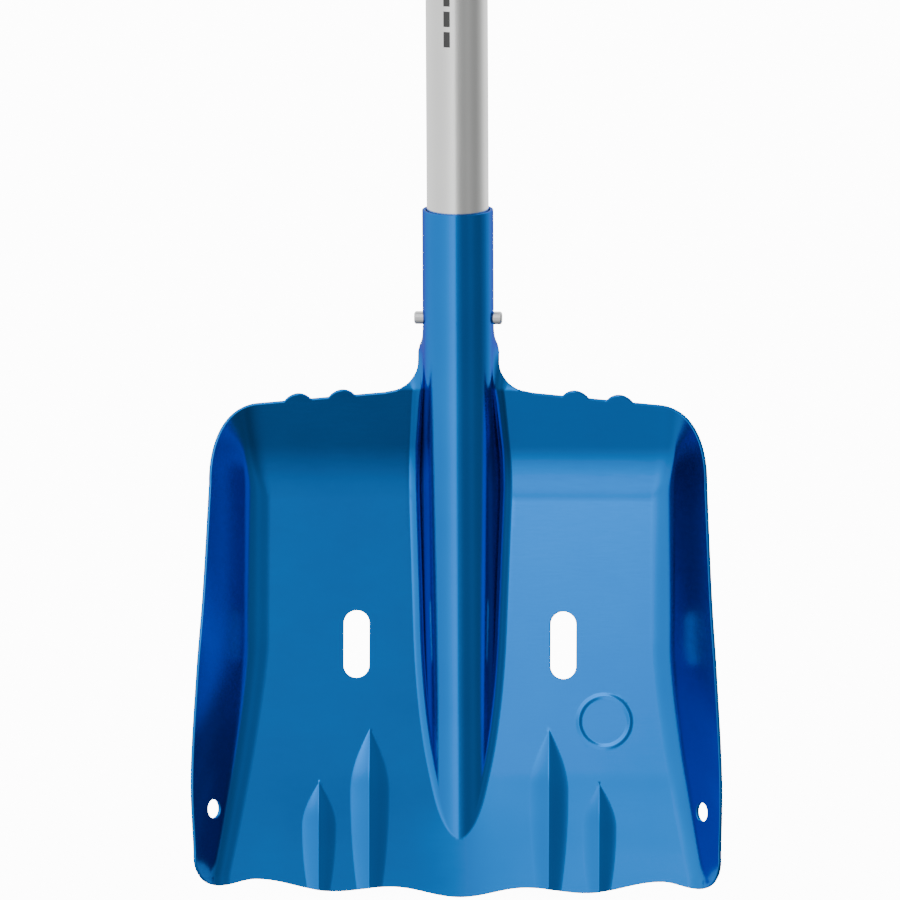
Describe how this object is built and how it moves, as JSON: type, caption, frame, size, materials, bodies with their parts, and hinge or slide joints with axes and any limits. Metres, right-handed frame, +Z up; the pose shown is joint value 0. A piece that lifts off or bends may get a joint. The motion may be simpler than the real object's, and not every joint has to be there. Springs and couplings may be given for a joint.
{
  "type": "avalanche shovel",
  "caption": "Avalanche shovel with a pressed aluminium scoop blade, a button-locked telescoping tube shaft and a T grip, shown collapsed.",
  "frame": {"origin": "middle of the blade's cutting edge, on its front face, where the shovel stands in the snow", "axes": "+Z up along the shaft towards the grip, -Y towards the blade's hollow side, +X to the right when looking into the hollow"},
  "size_m": [0.2604, 0.0678, 0.7194],
  "materials": {
    "blade_anodised": "blue anodised, satin",
    "shaft_aluminium": "clear anodised, satin",
    "button_steel": "polished stainless steel",
    "spring_steel": "spring steel strip",
    "black_plastic": "matte",
    "grip_plastic": "fine moulded grain",
    "grip_rubber": "matte soft rubber"
  },
  "bodies": {
    "blade": {"blade": "blade_anodised"},
    "shaft": {"lower_shaft": "shaft_aluminium", "shaft_end_plug": "black_plastic", "shaft_collar": "black_plastic", "blade_clip_spring": "spring_steel"},
    "left_button": {"blade_button_left": "button_steel"},
    "right_button": {"blade_button_right": "button_steel"},
    "upper": {"upper_shaft": "shaft_aluminium", "guide_bush": "black_plastic", "length_button_spring": "spring_steel", "grip_core": "grip_plastic", "grip_cover_left": "grip_rubber", "grip_cover_right": "grip_rubber", "grip_cap_left": "grip_plastic", "grip_cap_right": "grip_plastic", "grip_bolt": "button_steel", "grip_nut": "button_steel"},
    "length_lock": {"length_button": "button_steel"}
  },
  "joints": [
    {"name": "blade_release", "type": "slide", "parent": "blade", "child": "shaft", "axis": [0, 0, 1], "range_m": [0, 0.11], "deforming": ["blade_clip_spring", "blade_button_left", "blade_button_right"]},
    {"name": "press_left", "type": "slide", "parent": "shaft", "child": "left_button", "axis": [1, 0, 0], "range_m": [0, 0.006], "stiffness_N_per_m": 2500, "deforming": ["blade_clip_spring"]},
    {"name": "press_right", "type": "slide", "parent": "shaft", "child": "right_button", "axis": [-1, 0, 0], "range_m": [0, 0.006], "stiffness_N_per_m": 2500, "deforming": ["blade_clip_spring"]},
    {"name": "telescope", "type": "slide", "parent": "shaft", "child": "upper", "axis": [0, 0, 1], "range_m": [0, 0.24], "deforming": ["length_button_spring", "length_button"]},
    {"name": "press_length", "type": "slide", "parent": "upper", "child": "length_lock", "axis": [0, -1, 0], "range_m": [0, 0.005], "stiffness_N_per_m": 2500, "deforming": ["length_button_spring"]}
  ]
}
